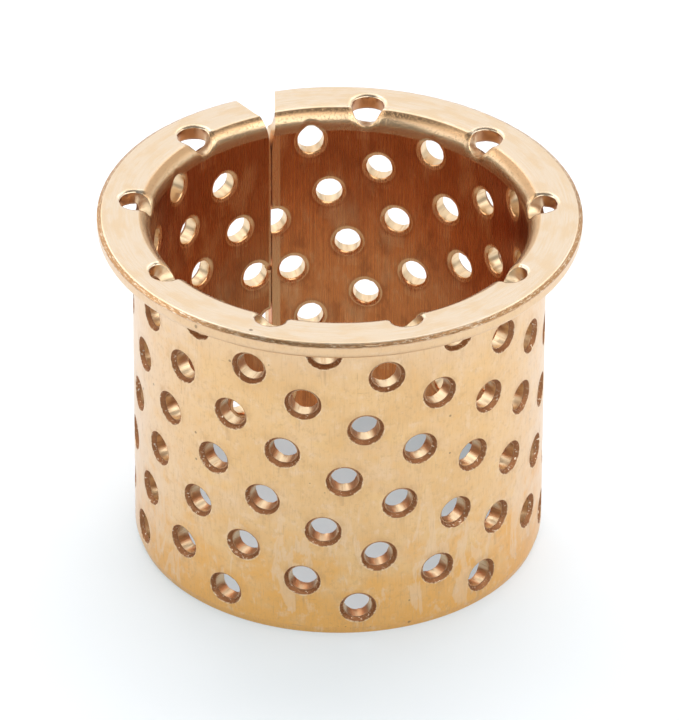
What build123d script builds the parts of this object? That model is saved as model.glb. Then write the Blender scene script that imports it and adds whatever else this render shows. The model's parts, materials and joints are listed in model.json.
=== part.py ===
from build123d import *

import os
from math import cos, degrees, pi, radians, sin, sqrt

# Flanged bushing rolled up from one punched strip of bronze. Millimetres, Z along the bore.
# Z = 0 is the plain end, which goes into its housing first, and the flange is on top.
# The strip's two ends meet in a seam on the +Y side.

# tube
bore_diameter = 50.0
wall = 2.5
length = 49.0               # over the flange
lead_in_height = 1.1        # turned chamfer outside the plain end
lead_in_depth = 0.35
mouth_chamfer = 0.4         # edge break inside the plain end

# flange, turned outwards from the same strip
flange_diameter = 64.4
flange_thickness = 2.35     # a little under the wall, because the strip is stretched here
bend_radius = 2.55          # from the bore up to the crease
crease_out = 1.5            # from the bore out to where the bend meets the flat of the flange
root_chamfer = 0.3          # corner under the flange
rim_chamfer_across = 0.6    # eased lower edge of the flange
rim_chamfer_up = 0.9
rim_break = 0.35            # sheared upper edge of the flange

# seam
seam_gap = 0.16
notch_foot = 3.4            # from the flange's underside down to the point of the V
notch_throat = 0.94         # width of the V level with the underside
notch_bend = 3.0            # and where it leaves the bend for the flat of the flange
notch_left = 2.85           # half widths at the rim, on the -X and on the +X side
notch_right = 3.2

# punched holes, laid out on the flat strip before it is rolled
hole_diameter = 3.7
hole_pitch = 17.7           # along a row
short_drop = 3.89           # from row to row down the tube, by these two steps in turn
long_drop = 4.15
short_shift = 7.12          # each row starts further along than the one above it,
long_shift = 7.93           # by these two steps in turn
first_row_drop = 4.49       # from the flange's top to the highest row in the straight tube
lowest_row = 3.6            # least height of a row above the plain end
first_hole = 10.4           # the same for the row in the bend, before the flange is turned
open_end_row = 8            # the row whose first hole lies across the strip's end
tear_height = 0.9           # break in the thin web between the seam and the hole beside it

# the row in the bend, as the turning has shifted it and drawn its holes out
bend_first_hole = 11.0
bend_hole_pitch = 17.55
bend_hole_width = 4.25
bend_hole_start = 5.0       # degrees into the bend
bend_hole_reach = 1.8       # out past the centre of the bend

bore_radius = bore_diameter / 2
outer_radius = bore_radius + wall
flange_radius = flange_diameter / 2
neutral_radius = bore_radius + wall / 2
strip_length = 2 * pi * neutral_radius
underside = length - flange_thickness
bend_out = bore_radius + bend_radius     # centre of the bend, out from the axis
bend_up = length - sqrt(bend_radius**2 - (bend_radius - crease_out) ** 2)   # and up
crease_radius = bore_radius + crease_out
clear = 2.0                              # how far a cutter stands out of the metal


# angle from +X, in degrees, of a point this far along the strip from its end at the seam
def turn_to(arc):
    return 90 + degrees(arc / neutral_radius)


# plane on the axis, at this height, whose Z points out through that point of the strip
def hole_plane(arc, height):
    turn = radians(turn_to(arc))
    return Plane((0, 0, height), x_dir=(0, 0, 1), z_dir=(cos(turn), sin(turn), 0))


# each hole of the straight tube, as its place along the strip and its height
whole_holes, end_holes = [], []
row = 1
height = length - first_row_drop
first = first_hole + short_shift
while height >= lowest_row:
    arc = first % hole_pitch
    if row == open_end_row:
        arc -= hole_pitch
    while arc < strip_length + hole_diameter * 3 / 8:
        is_whole = hole_diameter / 2 < arc < strip_length - hole_diameter / 2
        (whole_holes if is_whole else end_holes).append((arc, height))
        arc += hole_pitch
    first += long_shift if row % 2 else short_shift
    height -= short_drop if row % 2 else long_drop
    row += 1

# a web thinner than this, between a hole and the seam, has torn
thin_web = wall / 4
torn_webs = [spot for spot in whole_holes if spot[0] < hole_diameter / 2 + thin_web]

with BuildPart() as bushing:
    # tube and flange turned in one section
    with BuildSketch(Plane.XZ):
        with BuildLine():
            Polyline(
                (bore_radius, bend_up),
                (bore_radius, mouth_chamfer),
                (bore_radius + mouth_chamfer, 0),
                (outer_radius - lead_in_depth, 0),
                (outer_radius, lead_in_height),
                (outer_radius, underside - root_chamfer),
                (outer_radius + root_chamfer, underside),
                (flange_radius - rim_chamfer_across, underside),
                (flange_radius, underside + rim_chamfer_up),
                (flange_radius, length - rim_break),
                (flange_radius - rim_break, length),
                (crease_radius, length),
            )
            RadiusArc((crease_radius, length), (bore_radius, bend_up), -bend_radius)
        make_face()
    revolve(axis=Axis.Z)

    # round holes through the straight tube
    with BuildPart(mode=Mode.PRIVATE) as punch:
        with Locations((0, 0, neutral_radius)):
            Cylinder(hole_diameter / 2, wall + 2 * clear)
    with Locations(*[hole_plane(*spot) for spot in whole_holes]):
        add(punch.part, mode=Mode.SUBTRACT)

    # a hole across the strip's end is open on that end's own side of the seam only
    for arc, height in end_holes:
        own_side = Keep.TOP if arc > strip_length / 2 else Keep.BOTTOM
        with BuildPart(mode=Mode.PRIVATE) as end_punch:
            with Locations(hole_plane(arc, height)):
                add(punch.part)
            split(bisect_by=Plane.YZ, keep=own_side)
        add(end_punch.part, mode=Mode.SUBTRACT)

    # the row in the bend: open straight up through the flange, and bedded square to the bend
    with BuildPart(mode=Mode.PRIVATE) as bend_punch:
        lean = radians(bend_hole_start)
        inner_end = bend_out - bend_radius * cos(lean)
        outer_end = bend_out + bend_hole_reach
        with BuildSketch(Plane.XY.offset(underside - wall)):
            with Locations(((inner_end + outer_end) / 2, 0)):
                Ellipse((outer_end - inner_end) / 2, bend_hole_width / 2)
        extrude(amount=2 * wall + clear)
        hole_bed = Plane((bend_out, 0, bend_up), x_dir=(0, 1, 0), z_dir=(sin(lean), 0, cos(lean)))
        split(bisect_by=hole_bed, keep=Keep.TOP)
    arc = bend_first_hole
    while arc < strip_length - hole_diameter:
        with Locations(Rotation(0, 0, turn_to(arc))):
            add(bend_punch.part, mode=Mode.SUBTRACT)
        arc += bend_hole_pitch

    # seam, and the torn webs beside it
    with Locations((0, neutral_radius, length / 2)):
        Box(seam_gap, wall + 2 * clear, length + 2 * clear, mode=Mode.SUBTRACT)
    for arc, height in torn_webs:
        with Locations((-arc / 2, neutral_radius, height + tear_height)):
            Box(arc, wall + 2 * clear, tear_height, mode=Mode.SUBTRACT)

    # V notch: it opens from a point in the seam up to the underside, fans out round the root
    # of the flange, and opens on from there to the rim
    over = wall + clear
    across = flange_radius - outer_radius
    stretch = (across + clear) / across
    left_end = notch_bend / 2 + (notch_left - notch_bend / 2) * stretch
    right_end = notch_bend / 2 + (notch_right - notch_bend / 2) * stretch
    with BuildPart(mode=Mode.PRIVATE) as notch:
        root = Plane((0, outer_radius, underside))
        with BuildSketch(root):
            with Locations((0, -over / 2)):
                Rectangle(notch_throat, over)
        with BuildSketch(root.rotated((90, 0, 0))):
            with Locations((0, over / 2)):
                Rectangle(notch_bend, over)
        loft(ruled=True)
        with BuildSketch(Plane((0, neutral_radius, underside), x_dir=(1, 0, 0), z_dir=(0, -1, 0))):
            with BuildLine():
                Polyline(
                    (-notch_throat / 2, 0),
                    (notch_throat / 2, 0),
                    (0, -notch_foot),
                    close=True,
                )
            make_face()
        extrude(amount=wall / 2 + clear, both=True)
        with BuildSketch(root.offset(-clear)):
            with BuildLine():
                Polyline(
                    (-notch_bend / 2, 0),
                    (notch_bend / 2, 0),
                    (right_end, across + clear),
                    (-left_end, across + clear),
                    close=True,
                )
            make_face()
        extrude(amount=clear + over)
    add(notch.part, mode=Mode.SUBTRACT)

bushing.part.label = "bushing"
os.makedirs("parts", exist_ok=True)
export_step(bushing.part, "parts/bushing.step")
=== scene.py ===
import json
import math

import bmesh
import bpy
from mathutils import Matrix, Vector


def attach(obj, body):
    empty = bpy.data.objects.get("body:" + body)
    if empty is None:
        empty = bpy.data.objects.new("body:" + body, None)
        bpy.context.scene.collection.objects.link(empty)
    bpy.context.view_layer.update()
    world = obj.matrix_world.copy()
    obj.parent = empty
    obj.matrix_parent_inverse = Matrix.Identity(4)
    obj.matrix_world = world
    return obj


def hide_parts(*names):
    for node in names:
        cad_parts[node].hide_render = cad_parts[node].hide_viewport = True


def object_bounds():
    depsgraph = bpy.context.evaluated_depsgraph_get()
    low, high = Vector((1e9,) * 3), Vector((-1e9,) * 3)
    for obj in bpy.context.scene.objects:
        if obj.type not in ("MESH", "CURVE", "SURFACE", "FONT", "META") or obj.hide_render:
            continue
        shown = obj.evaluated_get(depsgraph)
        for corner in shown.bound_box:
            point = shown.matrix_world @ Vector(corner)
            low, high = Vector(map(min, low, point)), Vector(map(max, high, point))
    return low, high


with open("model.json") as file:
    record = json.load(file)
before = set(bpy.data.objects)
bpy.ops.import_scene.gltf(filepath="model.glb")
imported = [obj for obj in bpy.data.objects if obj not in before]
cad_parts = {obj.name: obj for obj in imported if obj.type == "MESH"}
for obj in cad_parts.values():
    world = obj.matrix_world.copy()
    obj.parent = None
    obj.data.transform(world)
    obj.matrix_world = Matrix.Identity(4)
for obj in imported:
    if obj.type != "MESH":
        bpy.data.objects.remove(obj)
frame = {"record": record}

cadLow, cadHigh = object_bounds()
mounts = {mount["name"]: mount for mount in frame["record"]["mounts"]}
mm = 0.001


# small helpers for every node tree below: a value that is a socket is linked, any other is set
def setInput(tree, socket, value):
    if isinstance(value, bpy.types.NodeSocket):
        tree.links.new(value, socket)
    else:
        socket.default_value = value


def addNode(tree, kind, inputs=None, **settings):
    made = tree.nodes.new(kind)
    for name, value in settings.items():
        setattr(made, name, value)
    for key, value in (inputs or {}).items():
        setInput(tree, made.inputs[key], value)
    return made


def calc(tree, operation, *values):
    made = tree.nodes.new("ShaderNodeMath")
    made.operation = operation
    for socket, value in zip(made.inputs, values):
        setInput(tree, socket, value)
    return made.outputs[0]


def clampedRange(tree, value, low, high, toLow=0.0, toHigh=1.0, smooth=False):
    made = addNode(
        tree,
        "ShaderNodeMapRange",
        {0: value, 1: low, 2: high, 3: toLow, 4: toHigh},
        interpolation_type="SMOOTHSTEP" if smooth else "LINEAR",
    )
    return made.outputs[0]


def storeOnPoints(tree, geometry, name, value, kind="FLOAT"):
    made = addNode(
        tree,
        "GeometryNodeStoreNamedAttribute",
        {"Geometry": geometry, "Name": name, "Value": value},
        data_type=kind,
        domain="POINT",
    )
    return made.outputs[0]


def readStored(tree, name):
    made = addNode(tree, "GeometryNodeInputNamedAttribute", {"Name": name}, data_type="FLOAT")
    return made.outputs[0]


def makeGeometryTree(name, sizes):
    tree = bpy.data.node_groups.new(name, "GeometryNodeTree")
    tree.interface.new_socket("Geometry", in_out="INPUT", socket_type="NodeSocketGeometry")
    for size in sizes:
        tree.interface.new_socket(size, in_out="INPUT", socket_type="NodeSocketFloat")
    tree.interface.new_socket("Geometry", in_out="OUTPUT", socket_type="NodeSocketGeometry")
    given = tree.nodes.new("NodeGroupInput")
    tree.nodes.new("NodeGroupOutput")
    return tree, given.outputs


def finishGeometryTree(tree, result):
    out = next(node for node in tree.nodes if node.bl_idname == "NodeGroupOutput")
    tree.links.new(result, out.inputs[0])


def addModifier(piece, tree, sizes):
    modifier = piece.modifiers.new(tree.name, "NODES")
    modifier.node_group = tree
    for item in tree.interface.items_tree:
        if item.in_out == "INPUT" and item.name in sizes:
            modifier[item.identifier] = float(sizes[item.name])


def applyNodes(piece):
    graph = bpy.context.evaluated_depsgraph_get()
    plain = bpy.data.meshes.new_from_object(
        piece.evaluated_get(graph), preserve_all_data_layers=True, depsgraph=graph
    )
    piece.modifiers.clear()
    piece.data = plain


# the strip as it lies flat, in millimetres: X along it from its end at the seam,
# Y up it from the plain end, Z through it from the bore side
strip = {
    "bendRadius": 2.55,
    "creaseRadius": 26.6,
    "rootRadius": 0.3,
    "bendRun": 1.49,
    "seamGap": 0.16,
    "leadInHeight": 1.1,
    "leadInDepth": 0.35,
    "mouthChamfer": 0.4,
    "rimRounding": 1.15,
    "rimBreak": 0.33,
    "rimBreakRun": 0.62,
    "dishRun": 2.2,
    "notchFoot": 3.4,
    "notchThroat": 0.94,
    "notchBend": 3.0,
    "notchLeft": 2.7,
    "notchRight": 3.2,
    # its mesh: columns along it, and rows up it, closer by the edges and the crease
    "columns": 240,
    "step": 1.25,
    "straightFrom": 2,  # the even rows start here
    "besideEdge": 0.08,
    "besideCrease": 0.06,
    "bendSteps": 8,
    "dishSteps": 5,
    "flangeSteps": 3,
    "roundingSteps": 6,
    "closest": 0.03,  # a row nearer than this to the last is left out
}
boreRadius = mounts["bore"]["dims"]["r_mm"]
outerRadius = mounts["housing_seat"]["dims"]["r_mm"]
wall = outerRadius - boreRadius
top = cadHigh.z / mm
rimRadius = cadHigh.x / mm
underside = mounts["flange_back"]["pos_m"][2] / mm
neutralRadius = boreRadius + wall / 2
stripLength = 2 * math.pi * neutralRadius
bendOut = boreRadius + strip["bendRadius"]
creaseTurn = math.acos((bendOut - strip["creaseRadius"]) / strip["bendRadius"])
bendStart = top - strip["bendRadius"] * math.sin(creaseTurn)
crease = bendStart + strip["bendRun"]
rootStart = underside - strip["rootRadius"]
rootEnd = crease + outerRadius + strip["rootRadius"] - strip["creaseRadius"]
stripHeight = crease + rimRadius - strip["creaseRadius"]


def stripLevels():  # the heights of the mesh's rows
    beside = strip["besideEdge"]
    levels = {0, beside, stripHeight}
    for edge in (strip["mouthChamfer"], strip["leadInHeight"]):
        levels |= {edge - beside, edge, edge + beside}
    straight = strip["straightFrom"]
    steps = round((rootStart - straight) / strip["step"])
    levels |= {straight + (rootStart - straight) * k / steps for k in range(steps + 1)}
    steps = strip["bendSteps"]
    levels |= {bendStart + (crease - bendStart) * k / steps for k in range(steps)}
    levels |= {crease - strip["besideCrease"], crease + strip["besideCrease"], rootEnd}
    steps = strip["dishSteps"]
    levels |= {crease + strip["dishRun"] * (k / steps) for k in range(1, steps + 1)}
    roundingStart = stripHeight - strip["rimRounding"]
    steps = strip["flangeSteps"]
    levels |= {rootEnd + (roundingStart - rootEnd) * k / steps for k in range(steps + 1)}
    for k in range(strip["roundingSteps"]):
        turn = math.radians(90 * k / strip["roundingSteps"])
        levels.add(stripHeight - strip["rimRounding"] * (1 - math.sin(turn)))
    levels.add(stripHeight - strip["rimBreakRun"])
    spaced = []
    for level in sorted(levels):
        if not spaced or level - spaced[-1] > strip["closest"]:
            spaced.append(level)
    spaced[-1] = stripHeight
    return spaced


def boreDepth(level):
    sheared = max(0, 1 - (stripHeight - level) / strip["rimBreakRun"]) * strip["rimBreak"]
    return max(strip["mouthChamfer"] - level, sheared)


def outsideDepth(level):
    leadIn = strip["leadInDepth"] * max(0, 1 - level / strip["leadInHeight"])
    rounding = strip["rimRounding"]
    into = max(0, level - stripHeight + rounding)
    return wall - leadIn - rounding + math.sqrt(rounding**2 - into**2)


def notchCut(level, atRim):  # how much of the strip's end the V takes at this level
    flatLevel = crease + outerRadius - strip["creaseRadius"]
    stations = [
        (underside - strip["notchFoot"], 0),
        (underside, strip["notchThroat"] / 2),
        (flatLevel, strip["notchBend"] / 2),
        (stripHeight, atRim),
    ]
    across = 0
    for (low, narrow), (high, wide) in zip(stations, stations[1:]):
        if level > low:
            across = narrow + (wide - narrow) * (level - low) / (high - low)
    radius = outerRadius + max(0, level - flatLevel)
    return max(0, neutralRadius * math.asin(across / radius) - strip["seamGap"] / 2)


def makeFlatStrip():
    levels = stripLevels()
    count = len(levels)
    mesh = bmesh.new()
    columns = []
    for column in range(strip["columns"] + 1):
        share = column / strip["columns"]
        ring = []
        for depth, order in ((boreDepth, levels), (outsideDepth, reversed(levels))):
            for level in order:
                left = strip["seamGap"] / 2 + notchCut(level, strip["notchLeft"])
                right = stripLength - strip["seamGap"] / 2 - notchCut(level, strip["notchRight"])
                ring.append(mesh.verts.new((left + (right - left) * share, level, depth(level))))
        columns.append(ring)
    for ring, following in zip(columns, columns[1:]):
        for k in range(2 * count):
            after = (k + 1) % (2 * count)
            mesh.faces.new((ring[k], ring[after], following[after], following[k]))
    for ring in (columns[0], columns[-1]):
        for k in range(count - 1):
            mesh.faces.new((ring[k], ring[k + 1], ring[2 * count - 2 - k], ring[2 * count - 1 - k]))
    bmesh.ops.recalc_face_normals(mesh, faces=mesh.faces)
    data = bpy.data.meshes.new("bushing")
    mesh.to_mesh(data)
    mesh.free()
    piece = bpy.data.objects.new("bushing", data)
    bpy.context.scene.collection.objects.link(piece)
    return piece


# the punching, on the flat strip: the holes run in skewed rows, in turn a short and a long
# step apart, and one more row lies in the bend
punching = {
    "Hole Radius": 1.85,
    "Hole Pitch": 17.7,
    "Short Drop": 3.89,
    "Long Drop": 4.15,
    "Short Shift": 7.12,
    "Long Shift": 7.93,
    "First Hole": 10.4,
    "Top Row": top - 4.49,
    "Row Reach": 1.0,  # less than the rows are apart
    "Bend Row": 48.7,
    "Bend First Hole": 11.0,
    "Bend Pitch": 17.55,
    "Bend Swing": 0.3,
    "Bend Stretch": 1.09,
    "Stretch Swing": 0.11,
    "Bend Widening": 1.12,
    "Top Row Stretch": 0.14,
    "Top Stretch Reach": 40,
    "Open End Row": 8,  # its first hole is cut open by the left end
    "End Margin": 1.0,  # how far in a row's first hole starts
    "Right End Reach": 0.75,  # in hole radii: how far past the right end its last may lie
    "Rows": 12,
    "Columns": 11,
    "Strip Length": stripLength,
    "Wall": wall,
    "Past Faces": 0.12,  # how far a punch stands out of the strip on both sides
    "Lip Width": 0.5,
    "Lip Depth": 0.3,
    "Lip Curve": 2.6,
    "Lip Roughness": 0.09,
    "Tear Ledge": 0.12,
    "Tear Width": 0.35,
    "Tear Depth": 0.56,
    "Tear Roughness": 0.1,
    "Tear Grain": 1.5,  # a noise's scale, as the other grains are
    "Smallest Hole": 0.985,
    "Largest Hole": 1.015,
    "Torn Web Along": 0.35,
    "Torn Web Up": 25.25,
    "Seed": 4,
}
punchSteps = {"lip": 6, "land": 2, "ledge": 1, "torn": 4, "round": 40}
tornWeb = {
    "size": (2.2, 0.8, 4.0),
    "alongSteps": 8,
    "upSteps": 4,
    "throughSteps": 8,
    "grain": 1.9,
    "roughness": 0.9,
}


def makePunchTree():
    tree, given = makeGeometryTree("punch holes", punching)

    def add(kind, inputs=None, **settings):
        return addNode(tree, kind, inputs, **settings)

    def do(operation, *values):
        return calc(tree, operation, *values)

    def choose(condition, otherwise, chosen):
        inputs = {0: condition, 1: otherwise, 2: chosen}
        return add("GeometryNodeSwitch", inputs, input_type="FLOAT").outputs[0]

    here = add("GeometryNodeInputPosition").outputs[0]
    hereAlong, hereUp, hereDepth = add("ShaderNodeSeparateXYZ", {0: here}).outputs
    landEnd = do("SUBTRACT", given["Wall"], given["Tear Depth"])

    def swingAt(along):  # once round the strip, highest at the seam
        turn = do("DIVIDE", do("MULTIPLY", along, 2 * math.pi), given["Strip Length"])
        return do("COSINE", turn)

    def tellRows(level):  # whether a hole is in the bend, and whether in the top straight row
        inBend = do("GREATER_THAN", level, do("ADD", given["Top Row"], given["Row Reach"]))
        return inBend, do("COMPARE", level, given["Top Row"], given["Row Reach"])

    def drawnUp(isTop, along):  # how far the bend has pulled up the top row beside the seam
        fromEnd = do("MINIMUM", along, do("SUBTRACT", given["Strip Length"], along))
        near = clampedRange(tree, fromEnd, given["Top Stretch Reach"], 0.0, smooth=True)
        return do("MULTIPLY", do("MULTIPLY", near, isTop), given["Top Row Stretch"])

    def drawnOut(isBend, isTop, along):  # how far it has widened and stretched a hole
        swing = do("MULTIPLY", swingAt(along), given["Stretch Swing"])
        drawn = do("ADD", given["Bend Stretch"], swing)
        widen = do("ADD", 1.0, do("MULTIPLY", isBend, do("SUBTRACT", given["Bend Widening"], 1.0)))
        stretch = do("ADD", 1.0, do("MULTIPLY", isBend, do("SUBTRACT", drawn, 1.0)))
        return widen, do("ADD", stretch, drawnUp(isTop, along))

    def layOutHoles():  # one point for each hole, row by row
        index = add("GeometryNodeInputIndex").outputs[0]
        row = do("FLOOR", do("DIVIDE", do("ADD", index, 0.5), given["Columns"]))
        column = do("SUBTRACT", index, do("MULTIPLY", row, given["Columns"]))
        oddRows = do("CEIL", do("DIVIDE", row, 2))
        evenRows = do("FLOOR", do("DIVIDE", row, 2))
        shortSteps = do("MULTIPLY", oddRows, given["Short Shift"])
        longSteps = do("MULTIPLY", evenRows, given["Long Shift"])
        start = do("ADD", do("ADD", shortSteps, longSteps), given["First Hole"])
        first = do("FLOORED_MODULO", start, given["Hole Pitch"])
        along = do("ADD", first, do("MULTIPLY", do("SUBTRACT", column, 1), given["Hole Pitch"]))
        shortDrops = do("MULTIPLY", evenRows, given["Short Drop"])
        longDrops = do("MULTIPLY", do("SUBTRACT", oddRows, 1), given["Long Drop"])
        up = do("SUBTRACT", given["Top Row"], do("ADD", shortDrops, longDrops))
        bendAlong = do("ADD", given["Bend First Hole"], do("MULTIPLY", column, given["Bend Pitch"]))
        bendUp = do("MULTIPLY", swingAt(bendAlong), given["Bend Swing"])
        bendUp = do("ADD", given["Bend Row"], bendUp)
        inBend = do("LESS_THAN", row, 0.5)
        along, up = choose(inBend, along, bendAlong), choose(inBend, up, bendUp)
        spot = add("ShaderNodeCombineXYZ", {0: along, 1: up}).outputs[0]
        count = do("MULTIPLY", given["Rows"], given["Columns"])
        points = add("GeometryNodePoints", {"Count": count, "Position": spot}).outputs[0]

        # those off the strip go, but for the one that its left end cuts open
        openRow = do("COMPARE", row, given["Open End Row"], 0.5)
        openReach = do("MULTIPLY", openRow, do("MULTIPLY", given["End Margin"], 2.0))
        lowest = do("SUBTRACT", given["End Margin"], openReach)
        rightReach = do("MULTIPLY", given["Hole Radius"], given["Right End Reach"])
        highest = do("ADD", given["Strip Length"], rightReach)
        tooLeft = do("LESS_THAN", hereAlong, lowest)
        tooRight = do("GREATER_THAN", hereAlong, highest)
        outside = do("MAXIMUM", tooLeft, tooRight)
        kept = add("GeometryNodeDeleteGeometry", {0: points, 1: outside}, domain="POINT").outputs[0]
        isBend, isTop = tellRows(hereUp)
        kept = storeOnPoints(tree, kept, "bendRow", isBend)
        kept = storeOnPoints(tree, kept, "topRow", isTop)
        pulled = do("MULTIPLY", drawnUp(readStored(tree, "topRow"), hereAlong), given["Hole Radius"])
        pulled = add("ShaderNodeCombineXYZ", {1: pulled}).outputs[0]
        return add("GeometryNodeSetPosition", {"Geometry": kept, "Offset": pulled}).outputs[0]

    def makePunch():  # soft lip on the bore side, straight land, and past a ledge the torn cone
        spans = sum(punchSteps[part] for part in ("lip", "land", "ledge", "torn"))
        lipTo = punchSteps["lip"] / spans
        landTo = (punchSteps["lip"] + punchSteps["land"]) / spans
        tornFrom = (spans - punchSteps["torn"]) / spans
        line = add("GeometryNodeCurvePrimitiveLine", {"Start": (0, 0, 0), "End": (0, 0, 1)})
        stations = add(
            "GeometryNodeResampleCurve", {"Curve": line.outputs[0], "Count": spans + 1}
        ).outputs[0]
        share = add("GeometryNodeSplineParameter").outputs["Factor"]
        before = do("MULTIPLY", given["Past Faces"], -1.0)
        beyond = do("ADD", given["Tear Depth"], given["Past Faces"])
        lipDepths = clampedRange(tree, share, 0.0, lipTo, before, given["Lip Depth"])
        landDepth = do("SUBTRACT", landEnd, given["Lip Depth"])
        landDepths = clampedRange(tree, share, lipTo, landTo, 0.0, landDepth)
        tornDepths = clampedRange(tree, share, tornFrom, 1.0, 0.0, beyond)
        depth = do("ADD", do("ADD", lipDepths, landDepths), tornDepths)
        lip = do("MAXIMUM", 0.0, do("SUBTRACT", 1.0, do("DIVIDE", depth, given["Lip Depth"])))
        lip = do("MULTIPLY", do("POWER", lip, given["Lip Curve"]), given["Lip Width"])
        onLedge = do("GREATER_THAN", share, (landTo + tornFrom) / 2)
        ledge = do("MULTIPLY", onLedge, given["Tear Ledge"])
        torn = do("MAXIMUM", 0.0, do("SUBTRACT", depth, landEnd))
        torn = do("MULTIPLY", do("DIVIDE", torn, given["Tear Depth"]), given["Tear Width"])
        radius = do("ADD", do("ADD", given["Hole Radius"], lip), do("ADD", ledge, torn))
        stations = storeOnPoints(tree, stations, "punchRadius", radius)
        down = add("ShaderNodeCombineXYZ", {2: depth}).outputs[0]
        stations = add("GeometryNodeSetPosition", {"Geometry": stations, "Position": down})
        ring = add(
            "GeometryNodeCurvePrimitiveCircle", {"Resolution": punchSteps["round"], "Radius": 1.0}
        )
        return add(
            "GeometryNodeCurveToMesh",
            {
                "Curve": stations.outputs[0],
                "Profile Curve": ring.outputs[0],
                "Scale": readStored(tree, "punchRadius"),
                "Fill Caps": True,
            },
        ).outputs[0]

    def placePunches(holes, punch):
        isBend, isTop = readStored(tree, "bendRow"), readStored(tree, "topRow")
        widen, stretch = drawnOut(isBend, isTop, hereAlong)
        size = add(
            "FunctionNodeRandomValue",
            {"Min": given["Smallest Hole"], "Max": given["Largest Hole"], "Seed": given["Seed"]},
            data_type="FLOAT",
        ).outputs[1]
        scale = add(
            "ShaderNodeCombineXYZ",
            {0: do("MULTIPLY", size, widen), 1: do("MULTIPLY", size, stretch), 2: 1.0},
        ).outputs[0]
        placed = add(
            "GeometryNodeInstanceOnPoints", {"Points": holes, "Instance": punch, "Scale": scale}
        ).outputs[0]
        return add("GeometryNodeRealizeInstances", {0: placed}).outputs[0]

    def anyWay(grain, detail, roughness):  # a noise that takes each point its own way
        colour = add(
            "ShaderNodeTexNoise",
            {"Vector": here, "Scale": grain, "Detail": detail, "Roughness": roughness},
            noise_dimensions="3D",
        ).outputs["Color"]
        middle = (0.5, 0.5, 0.5)
        return add("ShaderNodeVectorMath", {0: colour, 1: middle}, operation="SUBTRACT").outputs[0]

    def moved(piece, way, amount):
        offset = add("ShaderNodeVectorMath", {0: way, 3: amount}, operation="SCALE").outputs[0]
        return add("GeometryNodeSetPosition", {"Geometry": piece, "Offset": offset}).outputs[0]

    def roughened(punches):  # the torn cone is ragged, and so, less, is the lip
        inTear = do("GREATER_THAN", hereDepth, do("ADD", landEnd, 0.01))
        inLip = do("LESS_THAN", hereDepth, do("MULTIPLY", given["Lip Depth"], 0.9))
        amount = do("MULTIPLY", inTear, given["Tear Roughness"])
        amount = do("ADD", amount, do("MULTIPLY", inLip, given["Lip Roughness"]))
        way = anyWay(given["Tear Grain"], 3.0, 0.65)
        alongAndUp = (4.0, 4.0, 0.0)
        sideways = add("ShaderNodeVectorMath", {0: way, 1: alongAndUp}, operation="MULTIPLY")
        return moved(punches, sideways.outputs[0], amount)

    def makeTornWeb():  # what has torn out between the seam and the hole beside it
        block = add(
            "GeometryNodeMeshCube",
            {
                "Size": tornWeb["size"],
                "Vertices X": tornWeb["alongSteps"],
                "Vertices Y": tornWeb["upSteps"],
                "Vertices Z": tornWeb["throughSteps"],
            },
        ).outputs[0]
        middle = do("DIVIDE", given["Wall"], 2)
        spot = add(
            "ShaderNodeCombineXYZ",
            {0: given["Torn Web Along"], 1: given["Torn Web Up"], 2: middle},
        ).outputs[0]
        block = add("GeometryNodeTransform", {"Geometry": block, "Translation": spot}).outputs[0]
        return moved(block, anyWay(tornWeb["grain"], 2.0, 0.5), tornWeb["roughness"])

    def cutFrom(body, tool):
        return add(
            "GeometryNodeMeshBoolean", {0: body, 1: tool}, operation="DIFFERENCE", solver="EXACT"
        ).outputs[0]

    # what the finish reads: the flat place of each point, and where it is from the nearest hole
    def marked(body, holes):
        onFace = add("ShaderNodeCombineXYZ", {0: hereAlong, 1: hereUp}).outputs[0]
        near = add("GeometryNodeProximity", {0: holes}, target_element="POINTS")
        setInput(tree, near.inputs["Sample Position"], onFace)
        holeAlong, holeUp, _ = add("ShaderNodeSeparateXYZ", {0: near.outputs["Position"]}).outputs
        widen, stretch = drawnOut(*tellRows(holeUp), holeAlong)
        fromHole = add(
            "ShaderNodeCombineXYZ",
            {
                0: do("DIVIDE", do("SUBTRACT", hereAlong, holeAlong), widen),
                1: do("DIVIDE", do("SUBTRACT", hereUp, holeUp), stretch),
            },
        ).outputs[0]
        body = storeOnPoints(tree, body, "flatPlace", here, "FLOAT_VECTOR")
        body = storeOnPoints(tree, body, "fromHole", fromHole, "FLOAT_VECTOR")
        return storeOnPoints(tree, body, "holeDistance", near.outputs["Distance"])

    holes = layOutHoles()
    punches = roughened(placePunches(holes, makePunch()))
    body = cutFrom(given["Geometry"], punches)
    body = cutFrom(body, makeTornWeb())
    finishGeometryTree(tree, marked(body, holes))
    return tree


# the rolling: the bore side and the outside are each led round the tube and through the bend,
# and what lies between them is carried along
rolling = {
    "Neutral Radius": neutralRadius,
    "Bore Radius": boreRadius,
    "Bend Start": bendStart,
    "Bend Radius": strip["bendRadius"],
    "Crease Turn": creaseTurn,
    "Crease": crease,
    "Outer Radius": outerRadius,
    "Root Start": rootStart,
    "Root Radius": strip["rootRadius"],
    "Root End": rootEnd,
    "Wall": wall,
    "Strip Height": stripHeight,
    "Dish Run": strip["dishRun"],
    "Dish Depth": 0.11,
    "Rim Raggedness": 0.14,
    "Rim Grain": 0.9,
    "Left End Droop": 0.3,
    "Droop Reach": 16,
    "Sharp Angle": math.radians(34),
    "Scale": mm,
}


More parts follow.
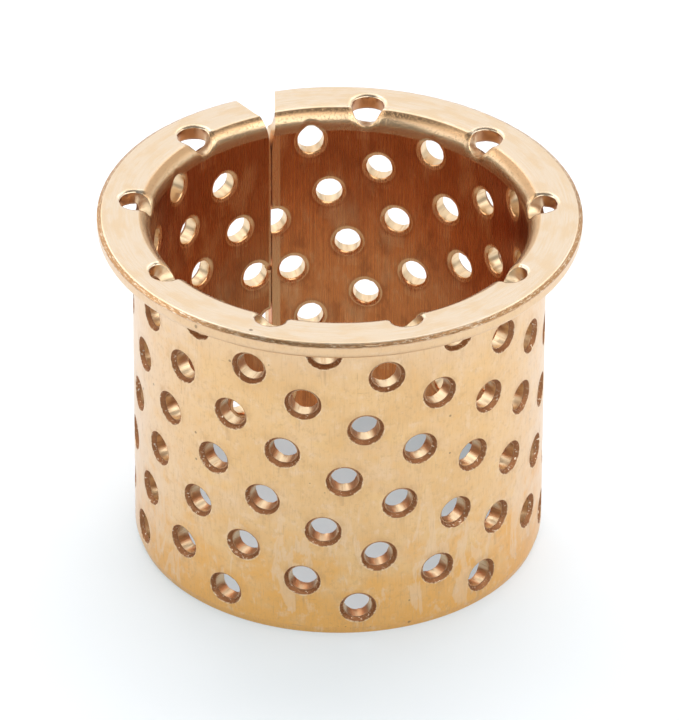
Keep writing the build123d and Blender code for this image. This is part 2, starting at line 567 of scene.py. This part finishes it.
def makeRollTree(finish):
    tree, given = makeGeometryTree("roll strip", rolling)

    def add(kind, inputs=None, **settings):
        return addNode(tree, kind, inputs, **settings)

    def do(operation, *values):
        return calc(tree, operation, *values)

    place = add("GeometryNodeInputPosition").outputs[0]
    along, up, depth = add("ShaderNodeSeparateXYZ", {0: place}).outputs

    # the sheared upper edge of the rim is ragged
    nearRim = clampedRange(tree, do("SUBTRACT", given["Strip Height"], up), 0.75, 0.1)
    nearTop = clampedRange(tree, depth, 0.9, 0.2)
    chips = add(
        "ShaderNodeTexNoise",
        {"Vector": place, "Scale": given["Rim Grain"], "Detail": 4.0, "Roughness": 0.7},
    ).outputs[0]
    chips = do("MULTIPLY", do("SUBTRACT", chips, 0.5), 2.0)
    ragged = do("MULTIPLY", do("MULTIPLY", nearRim, nearTop), given["Rim Raggedness"])
    depth = do("ADD", depth, do("MULTIPLY", do("ABSOLUTE", chips), ragged))
    share = do("DIVIDE", depth, given["Wall"])

    def section(straight, start, end, full, radius):
        turn = clampedRange(tree, up, start, end, 0.0, full)
        swung = do("MULTIPLY", radius, do("SUBTRACT", 1.0, do("COSINE", turn)))
        beyond = do("MAXIMUM", do("SUBTRACT", up, end), 0.0)
        out = do("ADD", do("ADD", straight, swung), beyond)
        rise = do("ADD", do("MINIMUM", up, start), do("MULTIPLY", radius, do("SINE", turn)))
        return out, rise

    boreOut, boreRise = section(
        given["Bore Radius"],
        given["Bend Start"],
        given["Crease"],
        given["Crease Turn"],
        given["Bend Radius"],
    )
    outsideOut, outsideRise = section(
        given["Outer Radius"],
        given["Root Start"],
        given["Root End"],
        math.pi / 2,
        given["Root Radius"],
    )

    # the flange is a little dished towards the crease
    dished = clampedRange(tree, up, do("ADD", given["Crease"], given["Dish Run"]), given["Crease"])
    pastBend = clampedRange(tree, up, given["Bend Start"], given["Crease"])
    dished = do("MULTIPLY", do("POWER", dished, 2.0), pastBend)
    boreRise = do("SUBTRACT", boreRise, do("MULTIPLY", dished, given["Dish Depth"]))

    def between(first, second):
        return do("ADD", first, do("MULTIPLY", share, do("SUBTRACT", second, first)))

    radius = between(boreOut, outsideOut)
    height = between(boreRise, outsideRise)

    # and it sags a little towards the left end
    sag = clampedRange(tree, along, given["Droop Reach"], 0.0, smooth=True)
    sag = do("MULTIPLY", sag, clampedRange(tree, up, given["Bend Start"], given["Strip Height"]))
    height = do("SUBTRACT", height, do("MULTIPLY", sag, given["Left End Droop"]))

    angle = do("ADD", do("DIVIDE", along, given["Neutral Radius"]), math.pi / 2)
    across = do("MULTIPLY", radius, do("COSINE", angle))
    away = do("MULTIPLY", radius, do("SINE", angle))
    rolled = add("ShaderNodeCombineXYZ", {0: across, 1: away, 2: height}).outputs[0]
    rolled = add("ShaderNodeVectorMath", {0: rolled, 3: given["Scale"]}, operation="SCALE").outputs[0]
    body = add(
        "GeometryNodeSetPosition", {"Geometry": given["Geometry"], "Position": rolled}
    ).outputs[0]

    body = add("GeometryNodeSetShadeSmooth", {0: body}, domain="FACE").outputs[0]
    bent = add("GeometryNodeInputMeshEdgeAngle").outputs[0]
    sharp = do("GREATER_THAN", bent, given["Sharp Angle"])
    body = add(
        "GeometryNodeSetShadeSmooth",
        {"Geometry": body, "Selection": sharp, "Shade Smooth": False},
        domain="EDGE",
    ).outputs[0]
    body = add("GeometryNodeRealizeInstances", {0: body}).outputs[0]
    body = add("GeometryNodeSetMaterial", {"Geometry": body, "Material": finish}).outputs[0]
    finishGeometryTree(tree, body)
    return tree


# the bronze: bare on the flange and in the bend, stained outside, dark and streaked in the bore
bronzeLook = {
    "bare": (0.845, 0.695, 0.53),
    "bareWarm": (0.82, 0.62, 0.41),
    "outside": (0.80, 0.53, 0.27),
    "amber": (0.81, 0.435, 0.13),
    "yellow": (0.85, 0.55, 0.21),
    "pale": (0.81, 0.59, 0.385),
    "faded": (0.82, 0.645, 0.49),
    "handled": (0.71, 0.435, 0.195),
    "smudge": (0.50, 0.30, 0.16),
    "bend": (0.86, 0.64, 0.40),
    "bendLow": (0.62, 0.36, 0.17),
    "creaseShade": (0.52, 0.29, 0.13),
    "bore": (0.82, 0.29, 0.09),
    "boreDark": (0.40, 0.125, 0.042),
    "boreWorn": (0.84, 0.47, 0.22),
    "land": (0.84, 0.64, 0.41),
    "landDark": (0.6, 0.36, 0.18),
    "landHigh": (0.46, 0.21, 0.10),
    "torn": (0.36, 0.165, 0.075),
    "paintedLipHighlight": (0.93, 0.72, 0.47),
    "rimDark": (0.5, 0.28, 0.13),
    "speck": (0.16, 0.10, 0.06),
    "bareRoughness": 0.2,
    "outsideRoughness": 0.34,
    "boreRoughness": 0.27,
    "landRoughness": 0.34,
    "glintRoughness": 0.25,
    "tornRoughness": 0.55,
    # places on the flat strip, in millimetres
    "holeEdge": 2.4,
    "haloRadius": 2.45,
    "nearHole": 3.1,  # past this, a hole's own stretch no longer counts
    "lipDepth": 0.22,
    "outsideReach": 1.3,
    "bareLevel": 46.25,
    "bendLowLevel": 47.7,
    "amberLevel": 17,
    "frontAlong": 74.7,
    "nickLevel": 1.15,
    "wornBand": 1.3,
    # each stain's colour, and each painted shade's and painted highlight's, and how much of what lies
    # under it that it hides
    "stainsAndPaintedLight": {
        "plain": ("outside", 0.55),
        "yellow": ("yellow", 0.34),
        "handled": ("handled", 0.5),
        "lowDown": ("amber", 0.9),
        "amberClouds": ("amber", 0.22),
        "paleClouds": ("pale", 0.5),
        "mottle": ("smudge", 0.3),
        "runs": ("pale", 0.5),
        "faded": ("faded", 0.7),
        "rings": ("smudge", 0.42),
        "drips": ("smudge", 0.4),
        "grain": ("smudge", 0.3),
        "scratches": ("smudge", 0.55),
        "dots": ("speck", 0.6),
        "nicks": ("speck", 1.0),
        "darkBlotches": ("boreDark", 0.6),
        "wornBlotches": ("boreWorn", 0.35),
        "paintedShadeAbove": ("boreDark", 0.6),
        "darkRound": ("boreDark", 0.5),
        "wornPatches": ("boreWorn", 0.4),
        "haloShade": ("boreDark", 0.35),
        "halo": ("boreWorn", 1.0),
        "smears": ("boreWorn", 0.35),
        "seamBand": ("boreWorn", 0.8),
        "bend": ("bend", 0.9),
        "bendLow": ("bendLow", 0.8),
        "creaseShade": ("creaseShade", 0.75),
        "pits": ("smudge", 0.45),
        "flangeDots": ("speck", 0.7),
        "rimEdge": ("rimDark", 1.0),
        "landHigh": ("landHigh", 0.85),
        "glints": ("bare", 1.0),
        "paintedLipHighlight": ("paintedLipHighlight", 0.7),
    },
    # relief, in micrometres
    "relief": {
        "grain": 3.5,
        "clouds": 12.0,
        "streaks": 2.5,
        "brushing": 5.0,
        "pits": -9.0,
        "shearing": 9.0,
        "tearing": 70.0,
        "scratches": 8.0,
        "rim": 55.0,
    },
}


def makeBronze(look):
    finish = bpy.data.materials.new("bronze")
    finish.use_nodes = True
    tree = finish.node_tree
    shader = tree.nodes["Principled BSDF"]
    shader.inputs["Metallic"].default_value = 1.0

    def add(kind, inputs=None, **settings):
        return addNode(tree, kind, inputs, **settings)

    def do(operation, *values):
        return calc(tree, operation, *values)

    def ramp(value, low, high, toLow=0.0, toHigh=1.0):
        return clampedRange(tree, value, low, high, toLow, toHigh, smooth=True)

    def both(*masks):
        result = masks[0]
        for mask in masks[1:]:
            result = do("MULTIPLY", result, mask)
        return result

    def inverse(mask):
        return do("SUBTRACT", 1.0, mask)

    def centred(value, amount):  # a noise made to swing both ways
        return do("MULTIPLY", do("SUBTRACT", value, 0.5), amount)

    def mix(amount, first, second):
        colours = [(*value, 1) if isinstance(value, tuple) else value for value in (first, second)]
        return add(
            "ShaderNodeMix", {0: amount, 6: colours[0], 7: colours[1]}, data_type="RGBA"
        ).outputs[2]

    def mixValue(amount, first, second):
        return add("ShaderNodeMix", {0: amount, 2: first, 3: second}, data_type="FLOAT").outputs[0]

    def stainedOrPaintedLight(under, stainOrLight, *masks):
        colourName, strength = look["stainsAndPaintedLight"][stainOrLight]
        return mix(both(*masks, strength), under, look[colourName])

    place = add("ShaderNodeAttribute", attribute_name="flatPlace").outputs["Vector"]
    along, level, depth = add("ShaderNodeSeparateXYZ", {0: place}).outputs
    offset = add("ShaderNodeAttribute", attribute_name="fromHole").outputs["Vector"]
    besideHole, aboveHole, _ = add("ShaderNodeSeparateXYZ", {0: offset}).outputs
    fromHole = add("ShaderNodeVectorMath", {0: offset}, operation="LENGTH").outputs["Value"]
    farther = add("ShaderNodeAttribute", attribute_name="holeDistance").outputs["Fac"]
    fromHole = mixValue(do("GREATER_THAN", farther, look["nearHole"]), fromHole, farther)
    fromFront = do("ABSOLUTE", do("SUBTRACT", along, look["frontAlong"]))
    fromEnd = do("SUBTRACT", stripLength, along)

    def noise(scale, detail=3.0, roughness=0.55, shift=(0, 0, 0), distortion=0.0):
        where = add(
            "ShaderNodeMapping", {"Vector": place, "Location": shift, "Scale": scale}
        ).outputs[0]
        return add(
            "ShaderNodeTexNoise",
            {
                "Vector": where,
                "Scale": 1.0,
                "Detail": detail,
                "Roughness": roughness,
                "Distortion": distortion,
            },
        ).outputs[0]

    def specks(scale, size, share, shift=(0, 0, 0), turn=0.0):
        where = add(
            "ShaderNodeMapping",
            {"Vector": place, "Location": shift, "Rotation": (0, 0, turn), "Scale": scale},
        ).outputs[0]
        cells = add("ShaderNodeTexVoronoi", {"Vector": where, "Scale": 1.0})
        chance = add("ShaderNodeSeparateColor", {0: cells.outputs["Color"]}).outputs
        reach = do("MULTIPLY", ramp(chance[0], 1.0 - share, 1.0), size)
        return ramp(do("SUBTRACT", reach, cells.outputs["Distance"]), 0.0, size * 0.35)

    # which part of the bushing the point is on
    wobble = centred(noise((1.1, 1.1, 1.1), 3), 0.5)
    holeEdge, lipDepth = look["holeEdge"], look["lipDepth"]
    inHole = both(ramp(fromHole, holeEdge, holeEdge - 0.06), ramp(depth, lipDepth, lipDepth + 0.12))
    tornStart = wall - punching["Tear Depth"]
    torn = both(inHole, ramp(depth, tornStart - 0.04, tornStart + 0.02))
    rimSide = both(ramp(level, stripHeight - 0.45, stripHeight - 0.3), ramp(depth, 0.4, 0.6))
    outsideStart = wall - look["outsideReach"]
    outside = do("MAXIMUM", ramp(depth, outsideStart, outsideStart + 0.15), rimSide)
    outside = both(outside, inverse(inHole))
    bareLevel = do("ADD", look["bareLevel"], do("MULTIPLY", wobble, 0.5))
    bare = both(ramp(level, do("SUBTRACT", bareLevel, 0.12), bareLevel), inverse(outside))
    inBend = both(ramp(level, crease + 0.3, crease - 0.2), bare)
    bore = both(inverse(outside), inverse(bare))
    relief = look["relief"]

    # soft stains, amber low down with paler runs over it, brown smudges by the holes, scratches
    def paintOutside():
        cloud = noise((0.11, 0.13, 0.1), 3)
        spot = noise((0.3, 0.34, 0.3), 3, 0.5, (7, 3, 0))
        fineCloud = noise((0.75, 0.6, 0.9), 4, 0.62, (3, 9, 0))
        mottle = noise((1.9, 1.5, 1), 3, 0.7, (2, 7, 0))
        grain = noise((9, 0.5, 1), 3, 0.6)
        paler = do("ADD", ramp(cloud, 0.45, 0.72, 0.0, 0.6), ramp(fromFront, 14.0, 36.0))
        colour = mix(do("MINIMUM", paler, 1.0), look["outside"], look["pale"])
        colour = stainedOrPaintedLight(colour, "plain", ramp(spot, 0.5, 0.34))
        colour = stainedOrPaintedLight(colour, "yellow", ramp(spot, 0.48, 0.66), ramp(cloud, 0.42, 0.58))
        handling = ramp(noise((0.09, 0.1, 0.1), 3, 0.6, (4, 6, 0)), 0.36, 0.6)
        colour = stainedOrPaintedLight(colour, "handled", ramp(fromFront, 30.0, 4.0), handling)
        lowDown = ramp(do("ADD", level, centred(spot, 30.0)), look["amberLevel"], 2.0)
        colour = stainedOrPaintedLight(colour, "lowDown", lowDown)
        colour = stainedOrPaintedLight(colour, "amberClouds", ramp(fineCloud, 0.5, 0.72))
        colour = stainedOrPaintedLight(colour, "paleClouds", ramp(fineCloud, 0.46, 0.3))
        colour = stainedOrPaintedLight(colour, "mottle", ramp(mottle, 0.5, 0.72))
        colour = stainedOrPaintedLight(
            colour,
            "runs",
            ramp(noise((0.32, 0.085, 0.2), 4, 0.6, (2, 1, 0), 0.7), 0.56, 0.585),
            ramp(level, 26.0, 14.0),
            ramp(level, 0.8, 1.8),
        )
        sides = both(ramp(fromFront, 30.0, 42.0), ramp(fromFront, 60.0, 46.0))
        highUp = both(ramp(level, 38.0, 45.0), 0.45)
        colour = stainedOrPaintedLight(colour, "faded", do("MAXIMUM", sides, highUp))
        ring = both(ramp(fromHole, 3.7, 2.4), ramp(fineCloud, 0.36, 0.7))
        colour = stainedOrPaintedLight(colour, "rings", ring, ramp(aboveHole, -1.4, 1.2, 0.35, 1.0))
        colour = stainedOrPaintedLight(
            colour,
            "drips",
            ramp(do("ABSOLUTE", besideHole), 1.5, 0.2),
            ramp(aboveHole, -7.0, -2.4),
            ramp(aboveHole, -1.5, -2.3),
            ramp(noise((1.7, 0.12, 0.2), 3, 0.6, (5, 5, 0)), 0.46, 0.68),
        )
        colour = stainedOrPaintedLight(colour, "grain", ramp(grain, 0.5, 0.75))
        scratches = do(
            "MAXIMUM",
            specks((0.16, 2.6, 0.3), 0.16, 0.16, (1, 4, 0), 0.2),
            specks((2.4, 0.16, 0.3), 0.16, 0.12, (8, 2, 0), -0.12),
        )
        colour = stainedOrPaintedLight(colour, "scratches", scratches, ramp(fineCloud, 0.4, 0.56))
        dots = specks((0.55, 0.55, 0.3), 0.14, 0.22)
        colour = stainedOrPaintedLight(colour, "dots", dots)
        colour = stainedOrPaintedLight(
            colour,
            "nicks",
            ramp(fromFront, 2.9, 1.2),
            ramp(do("ABSOLUTE", do("SUBTRACT", level, look["nickLevel"])), 0.34, 0.16),
            ramp(noise((1.1, 3.4, 2), 3, 0.7, (0, 2, 0)), 0.6, 0.66),
        )
        roughness = do("ADD", look["outsideRoughness"], centred(fineCloud, 0.16))
        raised = do("ADD", both(grain, relief["grain"]), both(fineCloud, relief["clouds"]))
        scored = both(do("MAXIMUM", scratches, dots), relief["scratches"])
        return colour, roughness, both(outside, do("SUBTRACT", raised, scored))

    # dark reddish brown, drawn vertical streaks, worn rings round the holes
    def paintBore():
        streaks = noise((4.4, 0.05, 1), 5, 0.66)
        broad = noise((0.16, 0.07, 1), 3, 0.55, (4, 0, 0))
        blotches = noise((0.42, 0.2, 1), 4, 0.6, (6, 2, 0))
        colour = mix(ramp(streaks, 0.2, 0.75, 0.4, 1.0), look["boreDark"], look["bore"])
        colour = stainedOrPaintedLight(colour, "darkBlotches", ramp(blotches, 0.52, 0.34))
        colour = stainedOrPaintedLight(colour, "wornBlotches", ramp(blotches, 0.54, 0.7))
        # painted shade: the bore is darkened towards its top, under the bend
        above = ramp(do("ADD", level, centred(broad, 26.0)), 27.0, 43.0)
        colour = stainedOrPaintedLight(colour, "paintedShadeAbove", above)
        colour = stainedOrPaintedLight(colour, "darkRound", ramp(fromEnd, 12.0, 38.0))
        colour = stainedOrPaintedLight(colour, "wornPatches", ramp(broad, 0.52, 0.66))
        haloRadius = look["haloRadius"]
        edge = do("ADD", fromHole, do("MULTIPLY", wobble, 0.35))
        colour = stainedOrPaintedLight(colour, "haloShade", ramp(edge, haloRadius + 0.6, haloRadius + 0.15))
        colour = stainedOrPaintedLight(colour, "halo", ramp(edge, haloRadius + 0.05, haloRadius - 0.07))
        colour = stainedOrPaintedLight(
            colour,
            "smears",
            ramp(do("ABSOLUTE", besideHole), 1.9, 0.9),
            ramp(aboveHole, -6.5, -2.6),
            ramp(aboveHole, -2.0, -2.6),
            ramp(streaks, 0.4, 0.62),
        )
        bandEdge = do("ADD", fromEnd, do("MULTIPLY", wobble, 0.3))
        rightBand = ramp(bandEdge, look["wornBand"] + 0.1, look["wornBand"])
        rightBand = both(rightBand, ramp(fromEnd, 0.1, 0.25))
        colour = stainedOrPaintedLight(colour, "seamBand", do("MAXIMUM", rightBand, ramp(along, 0.45, 0.3)))
        roughness = do("ADD", look["boreRoughness"], centred(streaks, 0.1))
        return colour, roughness, both(bore, streaks, relief["streaks"])

    # bare and brushed round, with pits in the bend and a dark line at the rim's upper edge
    def paintFlange():
        brushing = noise((0.14, 5.0, 1), 4, 0.65)
        cloud = noise((0.25, 0.5, 1), 3, 0.5, (9, 2, 0))
        colour = mix(ramp(brushing, 0.42, 0.7, 0.0, 0.7), look["bare"], look["bareWarm"])
        colour = mix(ramp(cloud, 0.42, 0.66, 0.0, 0.9), colour, look["bareWarm"])
        colour = stainedOrPaintedLight(colour, "bend", inBend)
        bendLowLevel = look["bendLowLevel"]
        lowInBend = ramp(do("ADD", level, wobble), bendLowLevel, bendLowLevel - 1.2)
        colour = stainedOrPaintedLight(colour, "bendLow", inBend, lowInBend)
        # painted shade: a brown band in the bend just below the crease, standing in for the dark
        # reflection there
        colour = stainedOrPaintedLight(
            colour,
            "creaseShade",
            ramp(level, crease - 0.85, crease - 0.4),
            ramp(level, crease + 0.12, crease - 0.1),
        )
        pits = both(inBend, ramp(noise((3.6, 4.2, 1), 4, 0.8), 0.53, 0.62))
        colour = stainedOrPaintedLight(colour, "pits", pits)
        colour = stainedOrPaintedLight(colour, "flangeDots", specks((0.4, 0.4, 0.3), 0.11, 0.2, (3, 3, 0)))
        rimGrain = noise((1.3, 5.0, 5.0), 4, 0.75, (6, 0, 0))
        rimEdge = both(ramp(level, stripHeight - 0.6, stripHeight - 0.5), ramp(depth, 0.5, 0.36))
        colour = stainedOrPaintedLight(colour, "rimEdge", rimEdge, ramp(rimGrain, 0.36, 0.5))
        roughness = mixValue(inBend, look["bareRoughness"], look["bareRoughness"] * 1.2)
        roughness = do("ADD", roughness, centred(brushing, 0.12))
        raised = do("ADD", both(brushing, relief["brushing"]), both(pits, relief["pits"]))
        raised = do("ADD", both(bare, raised), both(rimEdge, rimGrain, relief["rim"]))
        return colour, roughness, raised

    def paintLand():  # the sheared part of a hole's wall, which shines
        sheared = noise((2.4, 2.4, 0.35), 4, 0.65)
        colour = mix(ramp(sheared, 0.5, 0.8), look["land"], look["landDark"])
        colour = stainedOrPaintedLight(colour, "landHigh", ramp(level, 46.1, 46.5), ramp(aboveHole, -0.7, 0.7))
        raised = both(inHole, inverse(torn), sheared, relief["shearing"])
        return colour, look["landRoughness"], raised

    def paintTear():  # and past it the dark torn cone, with glints
        grain = noise((3.2, 3.2, 2.0), 4, 0.75, (1, 1, 1))
        colour = mix(ramp(grain, 0.55, 0.72), look["torn"], look["landDark"])
        glints = both(torn, ramp(noise((2.6, 2.6, 2.6), 3, 0.7, (3, 8, 0)), 0.6, 0.66))
        colour = stainedOrPaintedLight(colour, "glints", glints)
        roughness = mixValue(glints, look["tornRoughness"], look["glintRoughness"])
        return colour, roughness, both(torn, grain, relief["tearing"])

    colour, roughness, height = paintBore()
    for mask, painted in (
        (bare, paintFlange()),
        (outside, paintOutside()),
        (inHole, paintLand()),
        (torn, paintTear()),
    ):
        colour = mix(mask, colour, painted[0])
        roughness = mixValue(mask, roughness, painted[1])
        height = do("ADD", height, painted[2])
    # painted highlight: a pale, broken line round the lower outer edge of each hole, where the edge
    # catches the light
    colour = stainedOrPaintedLight(
        colour,
        "paintedLipHighlight",
        ramp(depth, wall - 0.08, wall - 0.03),
        ramp(fromHole, 2.52, 2.42),
        ramp(aboveHole, 0.9, -0.6),
        ramp(noise((1.8, 1.8, 1.8), 3, 0.6, (5, 1, 4)), 0.46, 0.58),
    )
    micrometre = mm / 1000
    bump = add("ShaderNodeBump", {"Strength": 1.0, "Distance": micrometre, "Height": height})
    tree.links.new(colour, shader.inputs["Base Color"])
    tree.links.new(roughness, shader.inputs["Roughness"])
    tree.links.new(bump.outputs[0], shader.inputs["Normal"])
    return finish


bushing = makeFlatStrip()
print("flat strip points", len(bushing.data.vertices))
addModifier(bushing, makePunchTree(), punching)
addModifier(bushing, makeRollTree(makeBronze(bronzeLook)), rolling)
applyNodes(bushing)
print("bushing faces", len(bushing.data.polygons))

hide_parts("bushing")
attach(bushing, "root")

# the stage: a white floor that glows a little, softboxes round it, and a dim room
studio = {
    "floorReach": 3,
    "floorColour": (0.604, 0.557, 0.554),
    "floorRoughness": 0.8,
    "floorShine": 0.2,
    "floorGlowColour": (0.57, 0.89, 1.0),
    "floorGlow": 0.33,
    "roomLight": 0.25,
}
softboxes = {
    "backdrop": {"azimuth": 0, "elevation": 22, "width": 0.9, "height": 0.86, "radiance": 0.84},
    "backdropTop": {"azimuth": 2, "elevation": 52, "width": 0.62, "height": 0.25, "radiance": 1.35},
    "leftBack": {"azimuth": -50, "elevation": 33, "width": 0.95, "height": 0.98, "radiance": 1.0},
    "leftFront": {"azimuth": -100, "elevation": 40, "width": 0.95, "height": 0.8, "radiance": 1.12},
    "right": {"azimuth": 60, "elevation": 32, "width": 1.2, "height": 0.95, "radiance": 0.77},
    "keyRight": {"azimuth": 104, "elevation": 46, "width": 0.6, "height": 0.65, "radiance": 1.4},
    "keyFront": {"azimuth": 156, "elevation": 50, "width": 0.95, "height": 0.95, "radiance": 1.6},
    "floorLamp": {"azimuth": 5, "elevation": 52, "width": 1.3, "height": 1.0, "radiance": 2.38},
}

reach = studio["floorReach"]
corners = [(-reach, -reach, 0), (reach, -reach, 0), (reach, reach, 0), (-reach, reach, 0)]
floorMesh = bpy.data.meshes.new("floor")
floorMesh.from_pydata(corners, [], [(0, 1, 2, 3)])
floor = bpy.data.objects.new("floor", floorMesh)
bpy.context.scene.collection.objects.link(floor)
paper = bpy.data.materials.new("paper")
paper.use_nodes = True
paperShader = paper.node_tree.nodes["Principled BSDF"]
paperShader.inputs["Base Color"].default_value = (*studio["floorColour"], 1)
paperShader.inputs["Roughness"].default_value = studio["floorRoughness"]
paperShader.inputs["Specular IOR Level"].default_value = studio["floorShine"]
paperShader.inputs["Emission Color"].default_value = (*studio["floorGlowColour"], 1)
paperShader.inputs["Emission Strength"].default_value = studio["floorGlow"]
floorMesh.materials.append(paper)

world = bpy.data.worlds.new("room")
bpy.context.scene.world = world
world.use_nodes = True
world.node_tree.nodes["Background"].inputs[0].default_value = (1, 1, 1, 1)
world.node_tree.nodes["Background"].inputs[1].default_value = studio["roomLight"]

# camera, in degrees and millimetres
view = {
    "turn": -21.8,
    "elevation": 33.54,
    "roll": 0.31,
    "distance": 1115.9,
    "aimUp": 25.52,
    "aimRight": 0.135,
    "lens": 416.4,
    "sensor": 36,
}
turn, elevation = math.radians(view["turn"]), math.radians(view["elevation"])
right = Vector((math.cos(turn), math.sin(turn), 0))
behind = Vector((-math.sin(turn), math.cos(turn), 0))
back = Vector(
    (math.sin(turn) * math.cos(elevation), -math.cos(turn) * math.cos(elevation), math.sin(elevation))
)
aim = Vector((0, 0, view["aimUp"] * mm)) + right * view["aimRight"] * mm
lens = bpy.data.cameras.new("camera")
lens.lens = view["lens"]
lens.sensor_width = view["sensor"]
lens.clip_start, lens.clip_end = 0.01, 20
camera = bpy.data.objects.new("camera", lens)
bpy.context.scene.collection.objects.link(camera)
camera.location = aim + back * view["distance"] * mm
camera.rotation_mode = "QUATERNION"
roll = Matrix.Rotation(math.radians(view["roll"]), 3, back)
camera.rotation_quaternion = roll.to_quaternion() @ (-back).to_track_quat("-Z", "Y")
bpy.context.scene.camera = camera
bpy.context.scene.view_settings.view_transform = "Standard"


# a softbox stands a metre off and faces the bushing; its azimuth runs to the right from straight
# behind the bushing as the camera sees it
def addSoftbox(name, box):
    azimuth, height = math.radians(box["azimuth"]), math.radians(box["elevation"])
    level = behind * math.cos(azimuth) + right * math.sin(azimuth)
    outward = level * math.cos(height) + Vector((0, 0, math.sin(height)))
    panel = bpy.data.lights.new(name, "AREA")
    panel.shape = "RECTANGLE"
    panel.size, panel.size_y = box["width"], box["height"]
    panel.energy = math.pi * box["width"] * box["height"] * box["radiance"]
    lamp = bpy.data.objects.new(name, panel)
    bpy.context.scene.collection.objects.link(lamp)
    lamp.location = outward + Vector((0, 0, top * mm / 2))
    lamp.rotation_euler = (-outward).to_track_quat("-Z", "Y").to_euler()
    lamp.visible_glossy = name != "floorLamp"  # that one only lights the paper


for name, box in softboxes.items():
    addSoftbox(name, box)
print("studio lit")
